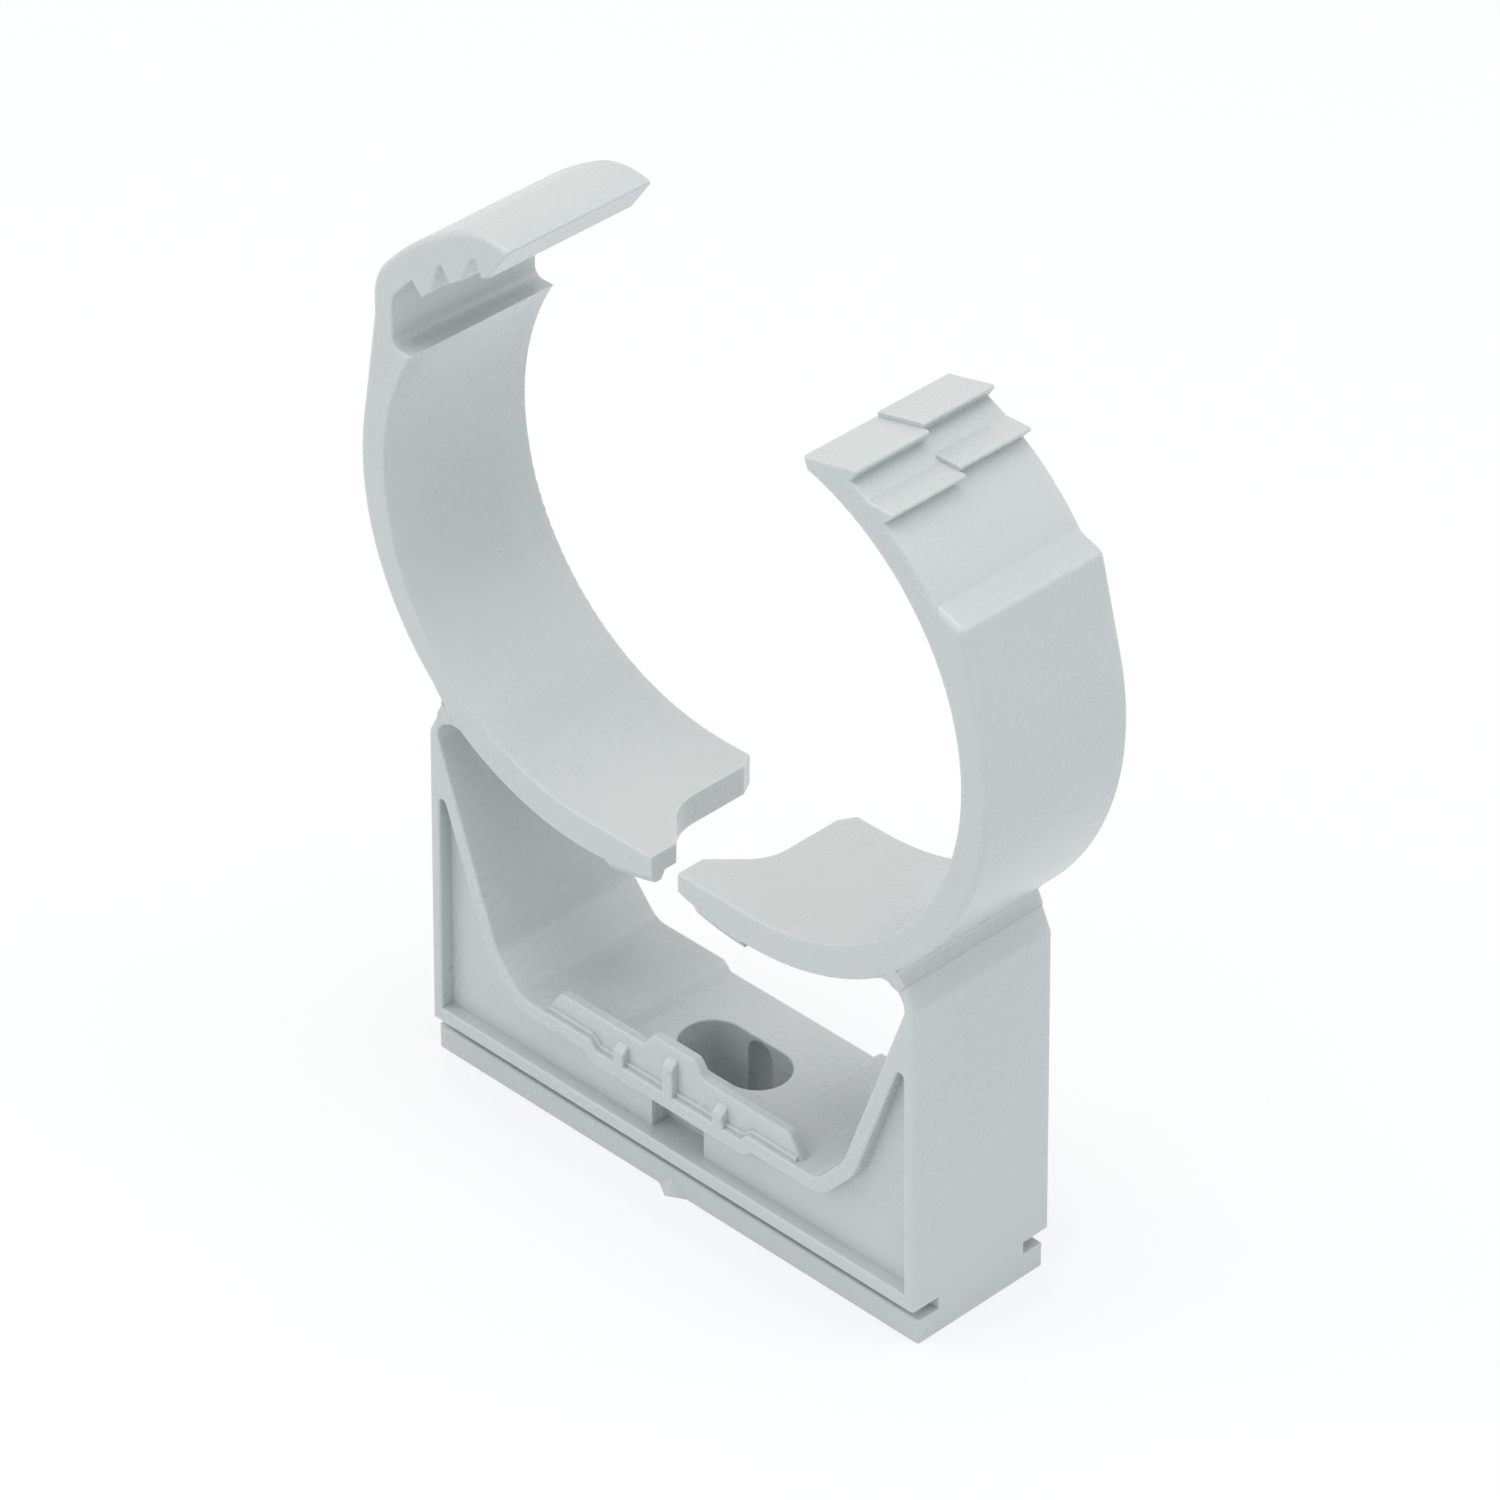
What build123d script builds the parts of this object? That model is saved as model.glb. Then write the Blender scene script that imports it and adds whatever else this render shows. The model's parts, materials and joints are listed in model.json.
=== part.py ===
from build123d import *
from math import acos, asin, atan2, cos, degrees, hypot, radians, sin, sqrt
import os

# Push-in clip for plastic pipe: a base with a slotted foot, and two jaws on thin necks at the
# base's shoulders. A pipe pushed down on the toes swings the jaws shut around it, and the hook
# of one jaw latches over the teeth of the other. The clip is drawn as moulded, with its jaws open.
# Millimetres and degrees. X runs along the base, Y along the pipe with the front at -Y, and Z
# up from the underside of the foot.
# Each jaw is drawn as a right-hand jaw about the centre of its own bore. Its angles grow upwards
# from the side away from the other jaw. The hook jaw is then mirrored to the left.

# Pipe and clip
pipe_diameter = 63.0
bore_clearance = 0.1
clip_depth = 22.0

# How a jaw swings: its turn from open to latched, and where its neck and its bore then stand
latched_turn = 35.6
latched_neck_angle = -16.1
latched_offset = 0.48

# Foot, a T-shaped rail under the whole base
foot_width = 20.1
foot_height = 3.2
rail_neck_width = 13.7
rail_neck_height = 1.75

# Shoulders and necks
end_wall_lean = 0.7
shoulder_drop = 3.3
shoulder_rounding = 1.6
pivot_inset = 3.33
pivot_rise = 33.8
neck_thickness = 2.45
neck_lean = 70.2
neck_stand_off = 0.67
hinge_clearance = 0.05
gap_end_radius = 2.46

# Well between the shoulders, which the toes sink into
well_floor_rise = 10.4
well_floor_inset = 15.25
well_bevel_run = 4.1
well_bevel_rise = 4.65
well_rounding = 3.0
floor_rounding = 3.0
inner_floor_half = 11.55
inner_floor_drop = 1.15
floor_step_run = 1.05
step_rounding = 0.8
step_root_rounding = 0.4
rim_wall = 2.0

# Recessed panels in the front and back faces of the base
panel_depth = 1.8
end_wall = 1.5
bottom_rail = 1.7
panel_rounding = 0.55
window_width = 8.4
window_depth = 2.6

# Hollows cored out of the base from below, one on each side of the slot
core_width = 10.4
core_wall = 2.2
core_rounding = 1.0

# Softened edges of the base
end_softening = 0.4
rim_softening = 0.3
panel_softening = 0.3
foot_softening = 0.3
flange_softening = 0.4
gusset_softening = 0.3
slot_softening = 0.25

# Slot for the fixing screw, with a half-round relief in its back wall
slot_length = 15.4
slot_width = 8.2
relief_radius = 2.0
relief_cover = 0.5

# Upstanding flange along the front of the well, its hump and its gussets
flange_thickness = 1.5
flange_set_back = 1.05
flange_end_inset = 3.3
flange_height = 3.0
flange_bevel = 1.95
flange_end_rounding = 1.2
hump_height = 2.05
hump_top_half = 2.8
hump_foot_half = 5.5
gusset_width = 1.7
gusset_spacing = 8.0
side_gusset_height = 1.75
centre_gusset_height = 4.0

# Pointed centre mark on the front edge of the foot
mark_half_width = 2.25
mark_height = 2.0
mark_reach = 1.3

# Jaw walls
arm_wall = 3.9
toe_wall = 4.3
wall_change_lead = 2.2
wall_change_turn = 4.0
arm_softening = 0.8
jaw_softening = 0.3

# Toes, seen from above
toe_gap = 4.2
toe_tip_depth = 3.9
toe_back_gap = 14.8
toe_hollow_radius = 6.4
toe_chamfer_run = 1.25
toe_chamfer_depth = 2.2
pad_height = 1.0
pad_width = 2.15
pad_bevel = 0.6
pad_length = 7.3
toothed_pad_start = 4.7
hook_pad_start = 2.1

# Teeth on the outside of the toothed jaw. The back half's teeth stand further round than the front's.
tooth_root_wall = 3.65
tooth_height = 2.2
tooth_angle = 64.1
tooth_pitch = 9.5
tooth_count = 2
tooth_undercut = 0.5
tooth_slope_turn = 5.4
crest_rounding = 0.3
stagger = 1.6
tip_angle = 73.8
tip_lean = 1.7
tip_height = 1.3
stagger_lift = 0.65
ledge_angle = 33.4
ledge_turn = 5.2
ledge_rounding = 1.0

# Hook, its cavity for the other jaw's tip, and its teeth
latch_play = 0.15
radial_play = 0.3
hook_tooth_land = 3.4
hook_tooth_flank = 4.9
hook_strap = 3.45
lip_angle = 33.0
cavity_side_angle = 38.6
cavity_rounding = 2.6
fold_rounding = 1.2
hook_wall = 3.1
hook_kink_rise = 3.2
hook_kink_rounding = 6.0
hook_rounding = 7.5
nose_land = 1.8
nose_turn = 8.9
nose_lift = 1.0
nose_fall_lead = 2.3

# Worked out from the sizes above
bore_radius = pipe_diameter / 2 + bore_clearance
arm_radius = bore_radius + arm_wall
toe_radius = bore_radius + toe_wall
tooth_root_radius = bore_radius + tooth_root_wall
crest_radius = tooth_root_radius + tooth_height
hook_tip_radius = tooth_root_radius + radial_play
hook_root_radius = crest_radius + radial_play
strap_radius = hook_root_radius + hook_strap
half_depth = clip_depth / 2
swing_radius = toe_radius + neck_stand_off
pivot_x = swing_radius * cos(radians(latched_neck_angle)) + latched_offset
half_length = pivot_x + pivot_inset
neck_angle = latched_neck_angle - latched_turn
wall_change_angle = neck_angle + wall_change_lead
body_bottom = foot_height + rail_neck_height
well_floor_height = body_bottom + well_floor_rise
well_floor_half = half_length - well_floor_inset
well_corner = (well_floor_half + well_bevel_run, well_floor_height + well_bevel_rise)
inner_floor_height = well_floor_height - inner_floor_drop
panel_bottom = body_bottom + bottom_rail
flange_front = -half_depth + flange_set_back
flange_root = inner_floor_height - rim_wall / 4
bead_radius = neck_thickness / 2
pivot = (pivot_x, well_floor_height + pivot_rise)
cavity_side = hook_root_radius * cos(radians(cavity_side_angle))
cavity_floor = bore_radius * sin(radians(lip_angle))


def polar(radius, angle, centre=(0, 0)):
    """The point at this radius and angle about the centre."""
    return (centre[0] + radius * cos(radians(angle)), centre[1] + radius * sin(radians(angle)))


def turned(point, centre, angle):
    """The point turned about the centre."""
    reach = hypot(point[0] - centre[0], point[1] - centre[1])
    start = degrees(atan2(point[1] - centre[1], point[0] - centre[0]))
    return polar(reach, start + angle, centre)


def tangent_angle(point, radius, centre=(0, 0), side=-1):
    """The angle on a circle where a straight line from the point touches it."""
    away = (point[0] - centre[0], point[1] - centre[1])
    return degrees(atan2(away[1], away[0])) + side * degrees(acos(radius / hypot(*away)))


def arc(radius, start, end):
    """An arc about a jaw's bore."""
    return ThreePointArc(polar(radius, start), polar(radius, (start + end) / 2), polar(radius, end))


def polygon(points):
    """A flat face inside straight lines."""
    return make_face(Polyline(*points, close=True))


def both_sides(points):
    """The points, then their mirror images in reverse order."""
    return points + [(-x, z) for x, z in reversed(points)]


def upright(face, front, back):
    """A slab whose outline stands in the XZ plane, from y = front to y = back."""
    return Pos(0, back, 0) * extrude(Plane.XZ * face, back - front)


def softened(slab, side, points, radius):
    """A slab whose front (-1) or back (1) is rounded along the outline's edges nearest these points."""
    outline = slab.edges().group_by(Axis.Y)[0 if side < 0 else -1]
    level = outline[0].center().Y
    return fillet([outline.sort_by_distance((x, level, z))[0] for x, z in points], radius)


def block(x_range, y_range, z_range):
    """A box between these limits."""
    spans = [high - low for low, high in (x_range, y_range, z_range)]
    middle = [(low + high) / 2 for low, high in (x_range, y_range, z_range)]
    return Pos(*middle) * Box(*spans)


jaw_centre = polar(-swing_radius, neck_angle, pivot)
gap_centre = polar(-(gap_end_radius + bead_radius), neck_lean, pivot)
notch = polar(bead_radius, neck_lean, pivot)
shoulder = (half_length - end_wall_lean, pivot[1] - shoulder_drop)


def well_face(allowance=0):
    """The open space between the shoulders, or that space grown by an allowance."""
    gap_angle = tangent_angle(well_corner, gap_end_radius, gap_centre, side=1)
    half_outline = [
        polar(3 * bead_radius, neck_lean, pivot),
        gap_centre,
        polar(gap_end_radius, gap_angle, gap_centre),
        well_corner,
        (well_floor_half, well_floor_height),
        (inner_floor_half + floor_step_run, well_floor_height),
        (inner_floor_half, inner_floor_height),
    ]
    face = polygon(both_sides(half_outline))
    roundings = (well_rounding, floor_rounding, step_rounding, step_root_rounding)
    for side in (-1, 1):
        for (x, z), radius in zip(half_outline[3:], roundings):
            face = fillet(face.vertices().sort_by_distance((side * x, z))[0], radius)
        face += Pos(side * gap_centre[0], gap_centre[1]) * Circle(gap_end_radius)
    if allowance:
        face = offset(face, allowance)
    return face


def body_face():
    """The base above its rail, seen from the front."""
    face = polygon(both_sides([(half_length, body_bottom), shoulder, notch]))
    for side in (-1, 1):
        corner = face.vertices().sort_by_distance((side * shoulder[0], shoulder[1]))[0]
        face = fillet(corner, shoulder_rounding)
        face -= Pos(side * pivot[0], pivot[1]) * Circle(bead_radius + hinge_clearance)
    return face - well_face()


def end_inside(wall, height):
    """The point on the inside of an end wall of this thickness, at a height."""
    lean = end_wall_lean / (shoulder[1] - body_bottom)
    return (half_length - wall - lean * (height - body_bottom), height)


def under_well(outline, wall):
    """The part of an outline that lies under the well, with this wall left between them."""
    face = polygon(outline) - well_face(wall)
    return face.faces().sort_by(SortBy.AREA)[-1]


def panel_face():
    """One recessed panel, between the end walls, the bottom rail and the rim of the well."""
    side = [end_inside(end_wall, panel_bottom), end_inside(end_wall, pivot[1])]
    face = under_well(both_sides(side), rim_wall)
    peaks = face.vertices().group_by(Axis.Y)[-1]
    return fillet(peaks, panel_rounding)


def core_face():
    """One hollow in the underside, closed by walls at the slot, the end and the well."""
    middle = slot_length / 2 + core_wall
    below = -2 * core_rounding
    side = [end_inside(core_wall, below), end_inside(core_wall, pivot[1])]
    face = under_well([(middle, below), *side, (middle, pivot[1])], core_wall)
    return offset(offset(face, -core_rounding), core_rounding)


def gusset(place, height):
    """One gusset in front of the flange, in this place along it."""
    middle = place * gusset_spacing
    span = (middle - gusset_width / 2, middle + gusset_width / 2)
    back = flange_front + flange_thickness / 2
    bar = block(span, (-half_depth, back), (flange_root, inner_floor_height + height))
    front = bar.faces().sort_by(Axis.Y)[0]
    return fillet(front.edges().sort_by(Axis.Z)[1:], gusset_softening)


def flange():
    """The upstanding flange with its hump, and the gussets that brace it."""
    top = well_floor_height + flange_height
    hump_top = top + hump_height
    hump_middle = (hump_top_half + hump_foot_half) / 2
    flange_half_length = well_floor_half - flange_end_inset
    corner = flange_half_length - flange_bevel
    peak = (hump_top_half, hump_top)
    hump_foot = (hump_foot_half, top)
    end_foot = (flange_half_length, well_floor_height)
    hump = Line(peak, (-hump_top_half, hump_top))
    right = [
        Bezier(peak, (hump_middle, hump_top), (hump_middle, top), hump_foot),
        Polyline(hump_foot, (corner, top), end_foot, (flange_half_length, flange_root)),
    ]
    left = [mirror(edge, Plane.YZ) for edge in right]
    bottom = Line((-flange_half_length, flange_root), (flange_half_length, flange_root))
    face = make_face([hump, *right, *left, bottom])
    for side in (-1, 1):
        face = fillet(face.vertices().sort_by_distance((side * corner, top))[0], flange_end_rounding)
    plate = upright(face, flange_front, flange_front + flange_thickness)
    for side in (-1, 1):
        plate = softened(plate, side, [(0, hump_top)], flange_softening)
    side_gussets = gusset(-1, side_gusset_height) + gusset(1, side_gusset_height)
    return plate + side_gussets + gusset(0, centre_gusset_height)


def centre_mark():
    """The pointed mark on the front edge of the foot."""
    front = -foot_width / 2
    outline = [(-mark_half_width, front), (mark_half_width, front), (0, front - mark_reach)]
    return loft([polygon(outline), Vertex(0, front, mark_height)])


def base():
    """The foot, and the body above it with its well, panels, slot, flange, mark and cores."""
    foot = block((-half_length, half_length), (-foot_width / 2, foot_width / 2), (0, foot_height))
    foot_edges = foot.edges().filter_by(Axis.Z) + foot.edges().filter_by(Axis.X).group_by(Axis.Z)[-1]
    foot = fillet(foot_edges, foot_softening)
    neck_half = rail_neck_width / 2
    rail_neck = block((-half_length, half_length), (-neck_half, neck_half), (0, body_bottom))
    body = upright(body_face(), -half_depth, half_depth)
    end_middle = (half_length, body_bottom + pivot_rise / 2)
    rim_middle = ((well_corner[0] + gap_centre[0]) / 2, (well_corner[1] + gap_centre[1]) / 2)
    for side in (-1, 1):
        body = softened(body, side, both_sides([end_middle]), end_softening)
        body = softened(body, side, both_sides([rim_middle]), rim_softening)
    panel_floor = half_depth - panel_depth
    body -= upright(panel_face(), -half_depth, -panel_floor)
    body -= upright(panel_face(), panel_floor, half_depth)
    for end in (0, -1):
        face = body.faces().sort_by(Axis.Y)[end]
        body = fillet(face.inner_wires()[0].edges(), panel_softening)
    solid = foot + rail_neck + body
    window_top = inner_floor_height - rim_wall
    window_half = window_width / 2
    window_back = -panel_floor + window_depth
    solid -= block((-window_half, window_half), (-half_depth, window_back), (panel_bottom, window_top))
    solid += flange()
    solid += centre_mark()
    solid -= extrude(SlotOverall(slot_length, slot_width), well_floor_height)
    inner_floor = solid.faces().filter_by(Axis.Z).sort_by_distance((0, slot_width, inner_floor_height))[0]
    solid = fillet(inner_floor.inner_wires()[0].edges(), slot_softening)
    relief_top = inner_floor_height - relief_cover - relief_radius
    relief = extrude(Circle(relief_radius), relief_top) + Pos(0, 0, relief_top) * Sphere(relief_radius)
    solid -= Pos(0, slot_width / 2, 0) * relief
    core = upright(core_face(), -core_width / 2, core_width / 2)
    return solid - core - mirror(core, Plane.YZ)


def jaw_slab(top_edges, outer_start, roundings, side):
    """The front (-1) or back (1) half of a jaw: toe, wall and arm, closed at the top by these edges."""
    wall_change_end = wall_change_angle + wall_change_turn
    toe_end = -90 - degrees(asin(jaw_centre[0] / toe_radius))
    first = top_edges[0] @ 0
    bore_end = degrees(atan2(first.Y, first.X))
    toe_top = (-jaw_centre[0], -bore_radius)
    edges = [
        Line(toe_top, (0, -bore_radius)),
        arc(bore_radius, -90, bore_end),
        *top_edges,
        arc(arm_radius, outer_start, wall_change_end),
        Line(polar(arm_radius, wall_change_end), polar(toe_radius, wall_change_angle)),
        arc(toe_radius, wall_change_angle, toe_end),
        Line(polar(toe_radius, toe_end), toe_top),
    ]
    face = make_face(edges)
    for corner, radius in roundings:
        face = fillet(face.vertices().sort_by_distance(corner)[0], radius)
    slab = upright(face, min(0, side * half_depth), max(0, side * half_depth))
    slab = Pos(jaw_centre[0], 0, jaw_centre[1]) * slab
    change_radius = (arm_radius + toe_radius) / 2
    arm_middle = polar(arm_radius, (outer_start + wall_change_end) / 2, jaw_centre)
    change_middle = polar(change_radius, wall_change_angle + wall_change_turn / 2, jaw_centre)
    slab = softened(slab, side, [arm_middle, change_middle], arm_softening)
    end_face = slab.faces().sort_by(Axis.Y)[0 if side < 0 else -1]
    return fillet(end_face.outer_wire().edges(), jaw_softening)


def toe_pad(start):
    """The low rib under the front edge of a toe, that much away from the clip's middle."""
    inner = toe_radius - pad_bevel
    outer = toe_radius + pad_height
    front = -half_depth
    section = [
        (inner, front),
        (toe_radius, front),
        (outer, front + pad_bevel),
        (outer, front + pad_width - pad_bevel),
        (toe_radius, front + pad_width),
        (inner, front + pad_width),
    ]
    face = make_face(Polyline(*[(x, y, 0) for x, y in section], close=True))
    ring = Pos(jaw_centre[0], 0, jaw_centre[1]) * revolve(face, Axis.Y)
    reach = (start, start + pad_length)
    return ring & block(reach, (front, 0), (0, jaw_centre[1]))


def toe_cut():
    """What is cut away between the toes, seen from above."""
    tip = toe_gap / 2
    back = toe_back_gap / 2
    diagonal_start = -half_depth + toe_tip_depth
    diagonal_end = (back, diagonal_start + back - tip)
    outline = [
        (-tip, -half_depth),
        (tip, -half_depth),
        (tip, diagonal_start),
        diagonal_end,
        (back, half_depth - toe_chamfer_depth),
        (back + toe_chamfer_run, half_depth),
        (-tip, half_depth),
    ]
    face = polygon(outline)
    face = fillet(face.vertices().sort_by_distance(diagonal_end)[0], toe_hollow_radius)
    return extrude(face, jaw_centre[1] - bore_radius + toe_wall)


def finished_jaw(front_slab, back_slab, pad_start):
    """The two halves of a jaw with its toe shaped, and its neck's bead cut flush with the shoulder."""
    outside_slope = polygon([shoulder, notch, (shoulder[0], notch[1])])
    bead = upright(Pos(*pivot) * Circle(bead_radius) - outside_slope, -half_depth, half_depth)
    return front_slab + back_slab - toe_cut() + toe_pad(pad_start) + bead


def toothed_slab(shift, lift, side):
    """One half of the toothed jaw, its teeth moved round by a shift and its tip raised by a lift."""
    faces = [tooth_angle + shift - index * tooth_pitch for index in range(tooth_count)]
    tip = polar(bore_radius, tip_angle)
    rise = polar(bore_radius + tip_height + lift, tip_angle + tip_lean)
    edges = [Line(tip, rise)]
    for face in faces:
        crest = polar(crest_radius, face)
        notch_angle = face + tooth_undercut
        land_end = face - tooth_pitch + tooth_slope_turn
        if face == faces[-1]:
            land_end = ledge_angle + ledge_turn
        edges += [
            Line(rise, crest),
            Line(crest, polar(tooth_root_radius, notch_angle)),
            arc(tooth_root_radius, notch_angle, land_end),
        ]
        rise = polar(tooth_root_radius, land_end)
    ledge = polar(crest_radius, ledge_angle)
    outer_start = tangent_angle(ledge, arm_radius)
    edges += [Line(rise, ledge), Line(ledge, polar(arm_radius, outer_start))]
    roundings = [(polar(crest_radius, face), crest_rounding) for face in faces]
    return jaw_slab(edges, outer_start, roundings + [(ledge, ledge_rounding)], side)


def meeting_angle(face):
    """Where a tooth of the latched toothed jaw stands, as an angle on the hook jaw."""
    crest = polar(crest_radius, face, jaw_centre)
    latched = turned(crest, pivot, latched_turn)
    on_hook = turned((-latched[0], latched[1]), pivot, -latched_turn)
    return degrees(atan2(on_hook[1] - jaw_centre[1], on_hook[0] - jaw_centre[0]))


def hook_faces(shift):
    """The angles of the hook's tooth faces: one behind each tooth of the toothed jaw, and one spare."""
    play_angle = degrees(latch_play / crest_radius)
    teeth = [tooth_angle + shift - index * tooth_pitch for index in range(tooth_count)]
    faces = [meeting_angle(tooth) + play_angle for tooth in teeth]
    return faces + [2 * faces[-1] - faces[-2]]


def hook_slab(shift, side):
    """One half of the hook jaw, its teeth set to catch the toothed jaw's same half."""
    faces = hook_faces(shift)
    nose_tooth = hook_faces(0)[-1]
    lip = (sqrt(bore_radius ** 2 - cavity_floor ** 2), cavity_floor)
    side_top = (cavity_side, sqrt(hook_root_radius ** 2 - cavity_side ** 2))
    root_start = degrees(atan2(side_top[1], side_top[0]))
    edges = [
        Line(lip, (cavity_side, cavity_floor)),
        Line((cavity_side, cavity_floor), side_top),
        arc(hook_root_radius, root_start, faces[0]),
    ]
    for face, following in zip(faces, faces[1:]):
        flank_start = face + hook_tooth_land
        flank_end = flank_start + hook_tooth_flank
        edges += [
            Line(polar(hook_root_radius, face), polar(hook_tip_radius, face)),
            arc(hook_tip_radius, face, flank_start),
            Line(polar(hook_tip_radius, flank_start), polar(hook_root_radius, flank_end)),
            arc(hook_root_radius, flank_end, following),
        ]
    last = faces[-1]
    nose = polar(hook_root_radius + nose_lift, nose_tooth + nose_turn)
    nose_start = nose_tooth + nose_land
    fall_start = nose_tooth - nose_fall_lead
    outer_side = cavity_side + hook_wall
    outer_top = (outer_side, sqrt(strap_radius ** 2 - outer_side ** 2))
    kink = (outer_side, cavity_floor + hook_kink_rise)
    outer_start = tangent_angle(kink, arm_radius)
    edges += [
        Line(polar(hook_root_radius, last), polar(hook_tip_radius, last)),
        arc(hook_tip_radius, last, nose_start),
        Line(polar(hook_tip_radius, nose_start), nose),
        TangentArc(polar(strap_radius, fall_start), nose, tangent=polar(1, fall_start + 90)),
        arc(strap_radius, fall_start, degrees(atan2(outer_top[1], outer_top[0]))),
        Line(outer_top, kink),
        Line(kink, polar(arm_radius, outer_start)),
    ]
    roundings = [
        (outer_top, hook_rounding),
        (kink, hook_kink_rounding),
        (side_top, cavity_rounding),
        ((cavity_side, cavity_floor), fold_rounding),
    ]
    return jaw_slab(edges, outer_start, roundings, side)


toothed_front = toothed_slab(0, 0, -1)
toothed_back = toothed_slab(stagger, stagger_lift, 1)
toothed_jaw = finished_jaw(toothed_front, toothed_back, toothed_pad_start)
hook_front = hook_slab(0, -1)
hook_back = hook_slab(stagger, 1)
hook_jaw = mirror(finished_jaw(hook_front, hook_back, hook_pad_start), Plane.YZ)

os.makedirs("parts", exist_ok=True)
for name, solid in (("base", base()), ("hook_jaw", hook_jaw), ("toothed_jaw", toothed_jaw)):
    export_step(solid, f"parts/{name}.step")
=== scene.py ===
"""Looks of a push-in plastic pipe clip: light grey moulded plastic, with necks between the base and
the jaws.
"""

import json
import math

import bmesh
import bpy
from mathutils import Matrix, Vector


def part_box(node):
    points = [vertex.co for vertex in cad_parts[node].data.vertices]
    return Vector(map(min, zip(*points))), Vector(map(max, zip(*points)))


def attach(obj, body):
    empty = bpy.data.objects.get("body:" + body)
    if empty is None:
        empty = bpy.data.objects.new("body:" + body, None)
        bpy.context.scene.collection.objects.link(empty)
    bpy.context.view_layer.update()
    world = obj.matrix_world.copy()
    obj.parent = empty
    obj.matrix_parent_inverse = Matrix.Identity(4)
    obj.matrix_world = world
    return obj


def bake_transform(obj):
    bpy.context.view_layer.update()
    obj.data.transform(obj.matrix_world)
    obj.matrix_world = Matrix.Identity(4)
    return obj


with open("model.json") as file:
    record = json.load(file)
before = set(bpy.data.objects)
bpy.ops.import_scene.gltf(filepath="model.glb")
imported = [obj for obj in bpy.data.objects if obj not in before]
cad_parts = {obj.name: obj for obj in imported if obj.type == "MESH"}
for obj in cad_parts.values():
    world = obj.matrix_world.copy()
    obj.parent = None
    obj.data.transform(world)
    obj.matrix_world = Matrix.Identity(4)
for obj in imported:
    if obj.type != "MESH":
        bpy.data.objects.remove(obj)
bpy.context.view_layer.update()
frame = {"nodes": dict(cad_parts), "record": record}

# Camera, in metres and degrees, with the lens and sensor in millimetres
CAMERA_PLACE = (0.48939, -0.48643, 0.53773)
CAMERA_TURN = (55.1053, 0.0, 45.0326)
LENS = 182.24
SENSOR = 36.0
VIEW_START = 0.01
VIEW_END = 20.0

# Light and floor
SKY_COLOUR = (1.0, 0.994, 0.995)
SKY_STRENGTH = 0.52
FLOOR_COLOUR = (0.9, 0.925, 0.95)
FLOOR_ROUGHNESS = 0.9
FLOOR_SIZE = 3.0
SHADOW_SHARE = 0.3
MIDDLE = (0.0, 0.0, 0.06)
SOFTBOX_SIZE = 0.9
# Each softbox has a place, a power in watts and a colour
SOFTBOXES = {
    "top_softbox": ((0, 0, 1.1), 4.7, (1.0, 0.98, 0.95)),
    "front_left_softbox": ((-0.6, -0.6, 0.8), 2.8, (1.0, 0.89, 0.89)),
    "back_right_softbox": ((0.6, 0.6, 0.8), 1.95, (1.0, 0.94, 0.93)),
    "right_softbox": ((1.05, 0, 0.5), 1.4, (0.72, 0.86, 1.0)),
    "front_softbox": ((0, -1.05, 0.5), 1.6, (0.86, 1.0, 0.96)),
}

# Plastic: its colour is linear, its depths are in metres
PLASTIC = (0.56, 0.6, 0.6)
PLASTIC_IOR = 1.49
GLOW_SHARE = 0.25
GLOW_DEPTH = 0.0012
GRAIN_STRENGTH = 0.08
GRAIN_DEPTH = 0.00002

# Patterns in the plastic: waves to the metre with their levels of detail, and ranges they cover
FLOW_NOISE = (45, 3)
SPECKLE_NOISE = (1400, 2)
GRAIN_NOISE = (4200, 3)
NOISE_MIDDLE = (0.3, 0.7)
FLOW_TONE = (0.965, 1.0)
SPECKLE_TONE = (0.997, 1.003)
FLOW_ROUGHNESS = (-0.03, 0.03)
SPECKLE_ROUGHNESS = (0.265, 0.295)

# Necks in the XZ plane of the right-hand side, in metres and degrees. A neck's section runs down
# the slope of the base, round the notch, up the arm, through the jaw's wall, along the toe,
# under the neck and down the round end of the gap between toe and base.
NECK_HALF = 0.001225
NECK_LEAN = 70.2
NECK_ANGLE = -51.7
SWING_RADIUS = 0.03657
TOE_RADIUS = 0.0359
ARM_RADIUS = 0.0355
WALL_CHANGE_START = -49.5
WALL_CHANGE_END = -45.5
GAP_RADIUS = 0.00246
GAP_SIDE_ANGLE = 15.0
GAP_STEPS = 20
SLOPE_ANGLE = -63.5
NOTCH_RADIUS = 0.0007
NOTCH_HALF_ANGLE = 57.5
UNDER_NECK_SHARE = 0.95
RIM_ROUNDING = 0.0003

# How far each neck is carried along the base and the jaw, and rooted in them
SLOPE_HOLD = 0.0023
ARM_HOLD = 0.0013
TOE_HOLD_ANGLE = -56.5
TOE_ROOT_LEAN = 1.0
ROOT_DEPTH = 0.0016
BASE_ROOT_ANGLE = -10.0
TAPER = 0.0006
TAPER_START = 0.0014
TAPER_END = 0.0022
SKIN = 0.000015
END_SKIN = 0.000007

# Flange along the front of the well, with its gussets
FLANGE_FRONT = -0.00995
FLANGE_FOOT_DEPTH = 0.00036
FLANGE_FOOT_HEIGHT = 0.00045
FLANGE_FOOT_RISE = 0.0001
FLANGE_FOOT_LINE = ((0.01995, 0.01535), (0.01275, 0.01535), (0.01145, 0.0142))
FLANGE_FOOT_ROUNDING = 0.0001
GUSSET_HALF = 0.000856
GUSSET_FRONT = -0.011006
GUSSET_TOP_DEPTH = 0.001
GUSSET_CHAMFER_START = 0.00017
GUSSET_CHAMFER_RISE = 0.0011
GUSSET_ROUNDING = 0.00028
GUSSETS = {"left": (-0.008, 0.01595), "middle": (0.0, 0.0182), "right": (0.008, 0.01595)}


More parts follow.
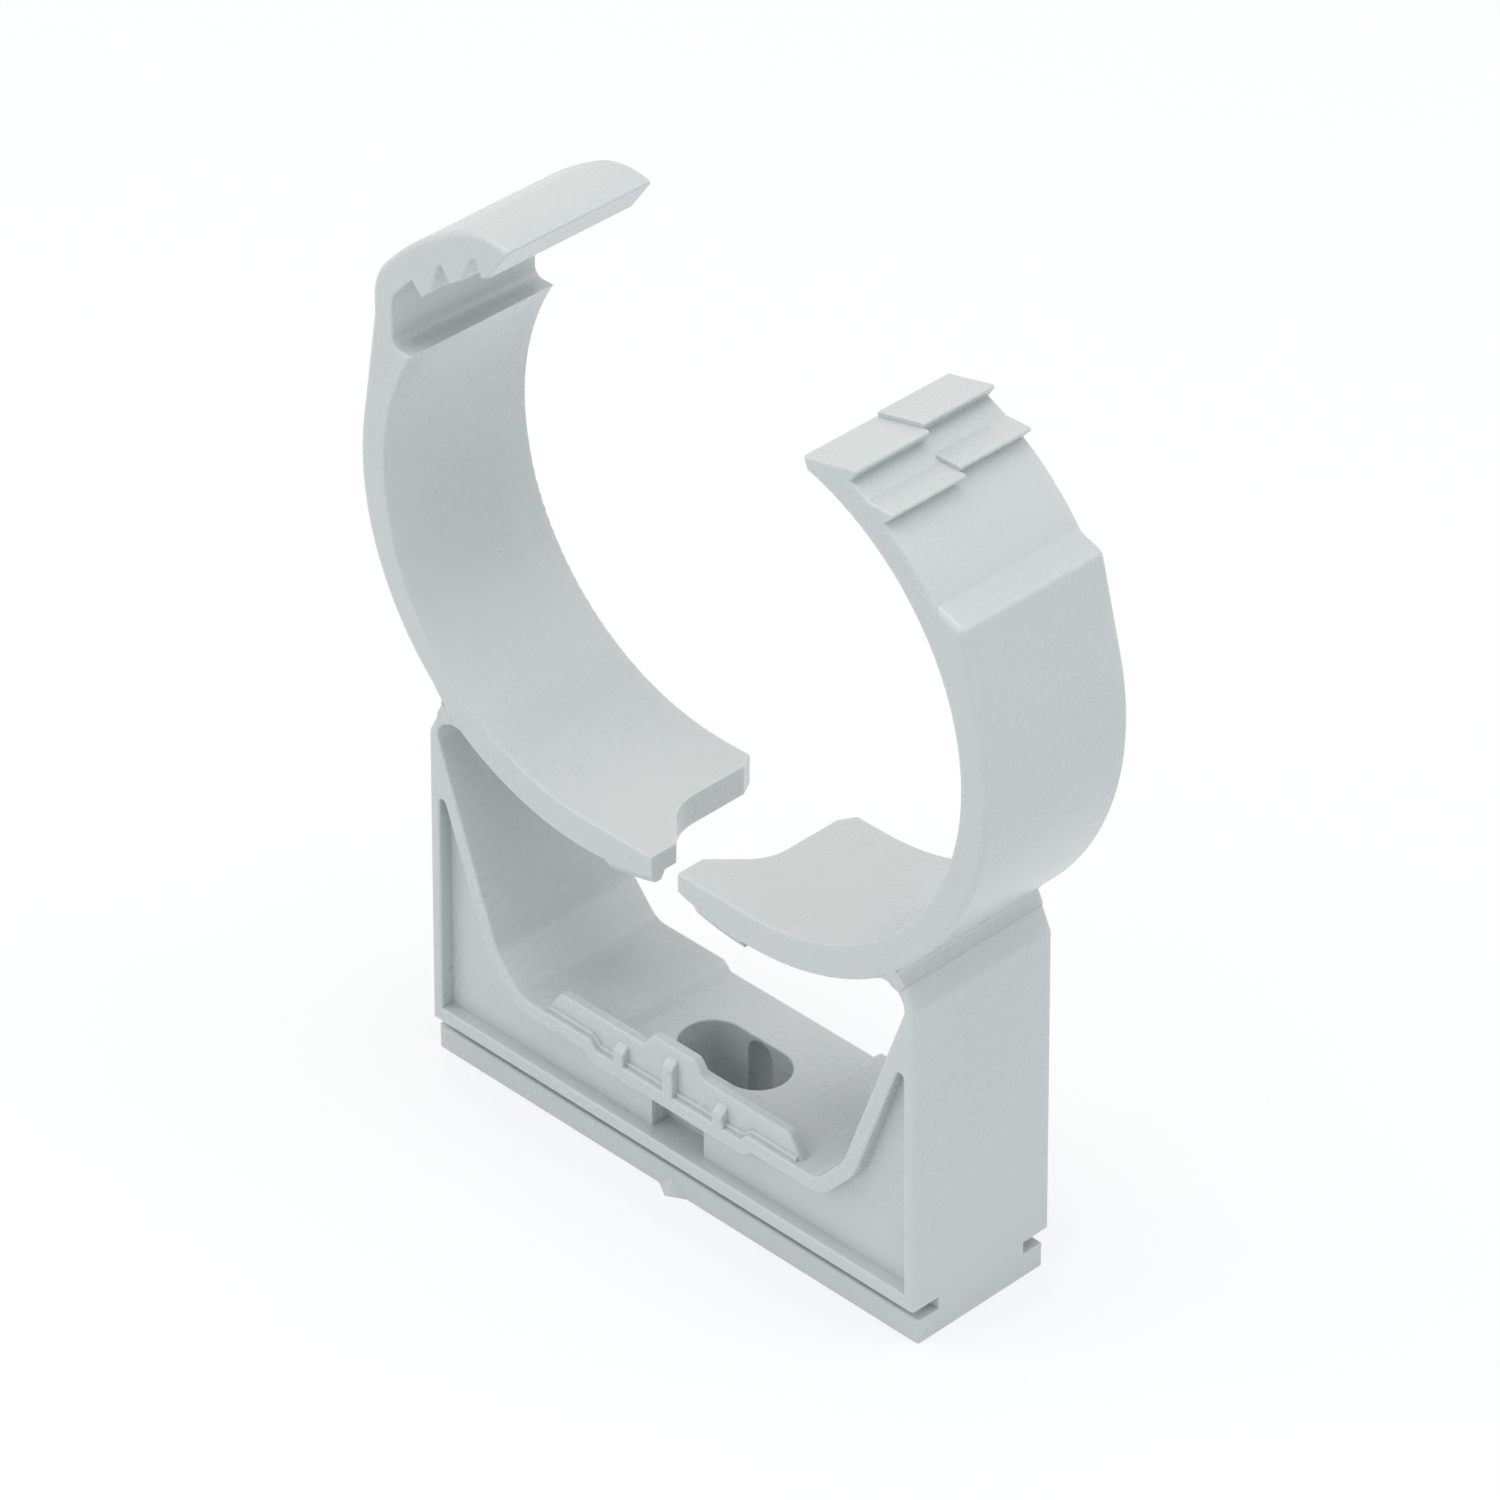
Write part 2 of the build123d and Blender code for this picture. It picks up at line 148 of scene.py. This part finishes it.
def make_camera():
    data = bpy.data.cameras.new("camera")
    data.lens = LENS
    data.sensor_width = SENSOR
    data.clip_start = VIEW_START
    data.clip_end = VIEW_END
    camera = bpy.data.objects.new("camera", data)
    camera.location = CAMERA_PLACE
    camera.rotation_euler = [math.radians(angle) for angle in CAMERA_TURN]
    bpy.context.scene.collection.objects.link(camera)
    bpy.context.scene.camera = camera


def make_softbox(name, place, power, colour):
    """A round softbox aimed at the middle of the clip."""
    data = bpy.data.lights.new(name, "AREA")
    data.shape = "DISK"
    data.size = SOFTBOX_SIZE
    data.energy = power
    data.color = colour
    lamp = bpy.data.objects.new(name, data)
    lamp.location = place
    aim = Vector(MIDDLE) - Vector(place)
    lamp.rotation_euler = aim.to_track_quat("-Z", "Y").to_euler()
    bpy.context.scene.collection.objects.link(lamp)


def seen_directly(tree):
    """A value of 1 for rays from the camera and for reflections, and 0 for rays that light things."""
    path = tree.nodes.new("ShaderNodeLightPath")
    either = tree.nodes.new("ShaderNodeMath")
    either.operation = "MAXIMUM"
    tree.links.new(path.outputs["Is Camera Ray"], either.inputs[0])
    tree.links.new(path.outputs["Is Glossy Ray"], either.inputs[1])
    return either.outputs["Value"]


def make_floor():
    """A pale floor that shows white, with the soft shadow of the clip."""
    shape = bmesh.new()
    bmesh.ops.create_grid(shape, x_segments=1, y_segments=1, size=FLOOR_SIZE)
    mesh = bpy.data.meshes.new("floor")
    shape.to_mesh(mesh)
    shape.free()
    floor = bpy.data.objects.new("floor", mesh)
    bpy.context.scene.collection.objects.link(floor)

    material = bpy.data.materials.new("pale_floor")
    material.use_nodes = True
    tree = material.node_tree
    paint = tree.nodes["Principled BSDF"]
    paint.inputs["Base Color"].default_value = (*FLOOR_COLOUR, 1)
    paint.inputs["Roughness"].default_value = FLOOR_ROUGHNESS
    white = tree.nodes.new("ShaderNodeEmission")
    share = tree.nodes.new("ShaderNodeMath")
    share.operation = "MULTIPLY"
    share.inputs[1].default_value = 1 - SHADOW_SHARE
    mix = tree.nodes.new("ShaderNodeMixShader")
    tree.links.new(seen_directly(tree), share.inputs[0])
    tree.links.new(share.outputs["Value"], mix.inputs["Fac"])
    tree.links.new(paint.outputs["BSDF"], mix.inputs[1])
    tree.links.new(white.outputs["Emission"], mix.inputs[2])
    tree.links.new(mix.outputs["Shader"], tree.nodes["Material Output"].inputs["Surface"])
    floor.data.materials.append(material)


def make_world():
    """An even sky, which shows white behind the clip and in its reflections."""
    world = bpy.data.worlds.new("studio")
    bpy.context.scene.world = world
    world.use_nodes = True
    tree = world.node_tree
    sky = tree.nodes["Background"]
    sky.inputs["Color"].default_value = (*SKY_COLOUR, 1)
    sky.inputs["Strength"].default_value = SKY_STRENGTH
    white = tree.nodes.new("ShaderNodeBackground")
    white.inputs["Color"].default_value = (1, 1, 1, 1)
    mix = tree.nodes.new("ShaderNodeMixShader")
    tree.links.new(seen_directly(tree), mix.inputs["Fac"])
    tree.links.new(sky.outputs["Background"], mix.inputs[1])
    tree.links.new(white.outputs["Background"], mix.inputs[2])
    tree.links.new(mix.outputs["Shader"], tree.nodes["World Output"].inputs["Surface"])


def noise(tree, place, scale, detail):
    """A noise pattern fixed to the clip, with this many waves to the metre."""
    node = tree.nodes.new("ShaderNodeTexNoise")
    node.inputs["Scale"].default_value = scale
    node.inputs["Detail"].default_value = detail
    tree.links.new(place, node.inputs["Vector"])
    return node.outputs["Fac"]


def spread(tree, value, low, high):
    """The value, stretched from the middle of a noise pattern to this range."""
    node = tree.nodes.new("ShaderNodeMapRange")
    node.inputs["From Min"].default_value = NOISE_MIDDLE[0]
    node.inputs["From Max"].default_value = NOISE_MIDDLE[1]
    node.inputs["To Min"].default_value = low
    node.inputs["To Max"].default_value = high
    tree.links.new(value, node.inputs["Value"])
    return node.outputs["Result"]


def blend_values(tree, first, second, operation):
    node = tree.nodes.new("ShaderNodeMath")
    node.operation = operation
    tree.links.new(first, node.inputs[0])
    tree.links.new(second, node.inputs[1])
    return node.outputs["Value"]


def moulded_surface():
    """The surface that a mould leaves: a fine grain, with faint flow marks in the tone."""
    group = bpy.data.node_groups.new("moulded_surface", "ShaderNodeTree")
    sockets = (
        ("INPUT", "Color", "NodeSocketColor"),
        ("INPUT", "Flow", "NodeSocketFloat"),
        ("INPUT", "Grain", "NodeSocketFloat"),
        ("OUTPUT", "Color", "NodeSocketColor"),
        ("OUTPUT", "Roughness", "NodeSocketFloat"),
        ("OUTPUT", "Height", "NodeSocketFloat"),
    )
    for side, name, kind in sockets:
        group.interface.new_socket(name, in_out=side, socket_type=kind)
    given = group.nodes.new("NodeGroupInput")
    result = group.nodes.new("NodeGroupOutput")
    place = group.nodes.new("ShaderNodeTexCoord").outputs["Object"]

    flow = blend_values(group, noise(group, place, *FLOW_NOISE), given.outputs["Flow"], "MULTIPLY")
    speckle = noise(group, place, *SPECKLE_NOISE)
    grain = noise(group, place, *GRAIN_NOISE)

    flow_tone = spread(group, flow, *FLOW_TONE)
    speckle_tone = spread(group, speckle, *SPECKLE_TONE)
    brightness = blend_values(group, flow_tone, speckle_tone, "MULTIPLY")
    tone = group.nodes.new("ShaderNodeHueSaturation")
    group.links.new(given.outputs["Color"], tone.inputs["Color"])
    group.links.new(brightness, tone.inputs["Value"])
    group.links.new(tone.outputs["Color"], result.inputs["Color"])

    flow_roughness = spread(group, flow, *FLOW_ROUGHNESS)
    speckle_roughness = spread(group, speckle, *SPECKLE_ROUGHNESS)
    roughness = blend_values(group, flow_roughness, speckle_roughness, "ADD")
    group.links.new(roughness, result.inputs["Roughness"])

    height = blend_values(group, grain, given.outputs["Grain"], "MULTIPLY")
    group.links.new(height, result.inputs["Height"])
    return group


def plastic(surface):
    """Light grey plastic, as all of the clip is one moulding."""
    material = bpy.data.materials.new("moulded_plastic")
    material.use_nodes = True
    tree = material.node_tree
    shader = tree.nodes["Principled BSDF"]
    shader.inputs["IOR"].default_value = PLASTIC_IOR
    shader.inputs["Subsurface Weight"].default_value = GLOW_SHARE
    shader.inputs["Subsurface Radius"].default_value = (1.0, 1.0, 1.0)
    shader.inputs["Subsurface Scale"].default_value = GLOW_DEPTH
    group = tree.nodes.new("ShaderNodeGroup")
    group.node_tree = surface
    group.inputs["Color"].default_value = (*PLASTIC, 1)
    group.inputs["Flow"].default_value = 1.0
    group.inputs["Grain"].default_value = 1.0
    bump = tree.nodes.new("ShaderNodeBump")
    bump.inputs["Strength"].default_value = GRAIN_STRENGTH
    bump.inputs["Distance"].default_value = GRAIN_DEPTH
    tree.links.new(group.outputs["Color"], shader.inputs["Base Color"])
    tree.links.new(group.outputs["Roughness"], shader.inputs["Roughness"])
    tree.links.new(group.outputs["Height"], bump.inputs["Height"])
    tree.links.new(bump.outputs["Normal"], shader.inputs["Normal"])
    return material


def polar(radius, angle, centre=(0.0, 0.0)):
    """The point at this radius and angle about the centre, in the XZ plane."""
    turn = math.radians(angle)
    return Vector((centre[0] + radius * math.cos(turn), centre[1] + radius * math.sin(turn)))


def crossing(start, along, other, other_along):
    """Where two lines of the XZ plane meet."""
    across = along.x * other_along.y - along.y * other_along.x
    gap = other - start
    return start + along * ((gap.x * other_along.y - gap.y * other_along.x) / across)


def neck_outline(pivot):
    """The corners of a neck's section with the rounding of each, seen from the front."""
    jaw_centre = polar(-SWING_RADIUS, NECK_ANGLE, pivot)
    gap_centre = polar(-(GAP_RADIUS + NECK_HALF), NECK_LEAN, pivot)
    notch = polar(NECK_HALF, NECK_LEAN, pivot)
    down_slope = polar(1, SLOPE_ANGLE)
    off_slope = polar(SKIN, SLOPE_ANGLE + 90)

    def gap_point(angle):
        return polar(GAP_RADIUS - SKIN, angle, gap_centre)

    def rim_point(radius, angle):
        return polar(radius, angle, jaw_centre)

    change_start = rim_point(TOE_RADIUS + SKIN, WALL_CHANGE_START)
    change_end = rim_point(ARM_RADIUS + SKIN, WALL_CHANGE_END)
    up_arm = (change_end - change_start).normalized()
    root = crossing(notch + off_slope, down_slope, change_start, up_arm)
    toe_end = rim_point(TOE_RADIUS + SKIN, TOE_HOLD_ANGLE)
    across_neck = polar(1, NECK_LEAN + 90)
    along_toe = polar(1, TOE_HOLD_ANGLE + 90)
    under_neck = crossing(gap_point(NECK_LEAN), across_neck, toe_end, along_toe)
    turn = (GAP_SIDE_ANGLE - NECK_LEAN) / GAP_STEPS
    underside = [gap_point(NECK_LEAN + turn * step) for step in range(GAP_STEPS + 1)]
    return [
        (notch - off_slope + down_slope * SLOPE_HOLD, 0),
        (root, NOTCH_RADIUS / math.tan(math.radians(NOTCH_HALF_ANGLE))),
        (root + up_arm * ARM_HOLD, 0),
        (rim_point(ARM_RADIUS - ROOT_DEPTH, WALL_CHANGE_START), 0),
        (rim_point(TOE_RADIUS - ROOT_DEPTH, TOE_HOLD_ANGLE + TOE_ROOT_LEAN), 0),
        (toe_end, 0),
        (under_neck, (under_neck - toe_end).length * UNDER_NECK_SHARE),
        *((point, 0) for point in underside),
        (underside[-1] + polar(ROOT_DEPTH / 2, BASE_ROOT_ANGLE), 0),
    ]


def rounded_corner(shape, corner, rounding):
    """Round one corner of a flat section, from this far along both of its sides."""
    bmesh.ops.bevel(
        shape,
        geom=[corner],
        offset=rounding,
        offset_type="OFFSET",
        segments=10,
        profile=0.5,
        affect="VERTICES",
        material=-1,
    )


def rounded_edges(shape, edges, rounding, segments=4):
    bmesh.ops.bevel(
        shape,
        geom=edges,
        offset=rounding,
        offset_type="OFFSET",
        segments=segments,
        profile=0.5,
        affect="EDGES",
        material=-1,
    )


def finished(shape, name):
    """The shape as an object, with its faces pointing outwards."""
    bmesh.ops.recalc_face_normals(shape, faces=shape.faces)
    mesh = bpy.data.meshes.new(name)
    shape.to_mesh(mesh)
    shape.free()
    piece = bpy.data.objects.new(name, mesh)
    bpy.context.scene.collection.objects.link(piece)
    return piece


def extruded(shape, faces, move):
    """Extrude the faces by this move, and return the new end faces."""
    grown = bmesh.ops.extrude_face_region(shape, geom=faces)
    corners = [item for item in grown["geom"] if isinstance(item, bmesh.types.BMVert)]
    bmesh.ops.translate(shape, verts=corners, vec=move)
    return [item for item in grown["geom"] if isinstance(item, bmesh.types.BMFace)]


def clamped(value):
    return min(max(value, 0), 1)


def make_neck(name, pivot, jaw, side):
    """The neck between the base and a jaw, a thin skin outside both and rooted in them."""
    low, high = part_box(jaw)
    front = low[1] - END_SKIN
    back = high[1] + END_SKIN
    middle = Vector((abs(pivot[0]), pivot[2]))
    outline = neck_outline(middle)
    shape = bmesh.new()
    corners = [shape.verts.new((place.x, front, place.y)) for place, rounding in outline]
    shape.faces.new(corners)
    for corner, (place, rounding) in zip(corners, outline):
        if rounding:
            rounded_corner(shape, corner, rounding)
    extruded(shape, shape.faces[:], (0, back - front, 0))
    rims = [edge for edge in shape.edges if abs(edge.verts[0].co.y - edge.verts[1].co.y) < SKIN]
    rounded_edges(shape, rims, RIM_ROUNDING)

    # The outer side draws in from the clip's front and back as it leaves the neck
    off_slope = polar(1, SLOPE_ANGLE + 90)
    for vertex in shape.verts:
        away = Vector((vertex.co.x, vertex.co.z)) - middle
        outward = clamped(away.dot(off_slope) / NECK_HALF)
        far = clamped((away.length - TAPER_START) / (TAPER_END - TAPER_START))
        vertex.co.y -= math.copysign(TAPER * outward * far, vertex.co.y)
    bmesh.ops.scale(shape, verts=shape.verts, vec=(side, 1, 1))

    neck = finished(shape, name)
    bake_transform(neck)
    return neck


def make_flange_foot():
    """The low step along the foot of the flange, which follows the floor of the well."""
    line = [(-x, z) for x, z in FLANGE_FOOT_LINE] + [(x, z) for x, z in reversed(FLANGE_FOOT_LINE)]
    start_x, start_z = line[0]
    front = FLANGE_FRONT - FLANGE_FOOT_DEPTH
    back = FLANGE_FRONT + FLANGE_FOOT_DEPTH
    bottom = start_z - FLANGE_FOOT_HEIGHT
    top = start_z + FLANGE_FOOT_HEIGHT
    section = [
        (front, bottom),
        (front, top),
        (FLANGE_FRONT, top + FLANGE_FOOT_RISE),
        (back, top + FLANGE_FOOT_RISE),
        (back, bottom),
    ]
    shape = bmesh.new()
    end = [shape.faces.new([shape.verts.new((start_x, y, z)) for y, z in section])]
    for (x, z), (next_x, next_z) in zip(line, line[1:]):
        end = extruded(shape, end, (next_x - x, 0, next_z - z))
    edges = [
        edge
        for edge in shape.edges
        if all(vertex.co.y < front + SKIN for vertex in edge.verts)
        and abs(edge.verts[0].co.x - edge.verts[1].co.x) > SKIN
        and any(abs(face.normal.z) > 0.5 for face in edge.link_faces)
    ]
    rounded_edges(shape, edges, FLANGE_FOOT_ROUNDING, 3)
    foot = finished(shape, "flange_foot")
    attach(foot, "base")
    return foot


def make_gusset_top(name, middle, top):
    """The slope in which a gusset runs up into the flange."""
    back = FLANGE_FRONT + FLANGE_FOOT_DEPTH
    rise = GUSSET_CHAMFER_RISE * (back - GUSSET_FRONT) / (FLANGE_FRONT - GUSSET_FRONT)
    section = [
        (GUSSET_FRONT, top - GUSSET_TOP_DEPTH),
        (GUSSET_FRONT, top - GUSSET_CHAMFER_START),
        (back, top - GUSSET_CHAMFER_START + rise),
        (back, top - GUSSET_TOP_DEPTH),
    ]
    shape = bmesh.new()
    side = shape.faces.new([shape.verts.new((middle - GUSSET_HALF, y, z)) for y, z in section])
    extruded(shape, [side], (2 * GUSSET_HALF, 0, 0))
    edges = [
        edge
        for edge in shape.edges
        if all(vertex.co.y < FLANGE_FRONT + SKIN for vertex in edge.verts)
        or all(vertex.co.z > top - GUSSET_TOP_DEPTH / 2 for vertex in edge.verts)
    ]
    rounded_edges(shape, edges, GUSSET_ROUNDING)
    piece = finished(shape, name)
    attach(piece, "base")
    return piece


make_camera()
make_floor()
make_world()
for name, (place, power, colour) in SOFTBOXES.items():
    make_softbox(name, place, power, colour)

joints = {joint["name"]: joint for joint in frame["record"]["behaviour"]["joints"]}
pieces = [
    make_neck("neck_of_hook_jaw", joints["hook_neck"]["pos_m"], "hook_jaw", -1),
    make_neck("neck_of_toothed_jaw", joints["toothed_neck"]["pos_m"], "toothed_jaw", 1),
    make_flange_foot(),
]
for name, (middle, top) in GUSSETS.items():
    pieces.append(make_gusset_top(name + "_gusset_top", middle, top))
finish = plastic(moulded_surface())
for piece in (*frame["nodes"].values(), *pieces):
    piece.data.materials.clear()
    piece.data.materials.append(finish)

bpy.context.scene.view_settings.view_transform = "Standard"
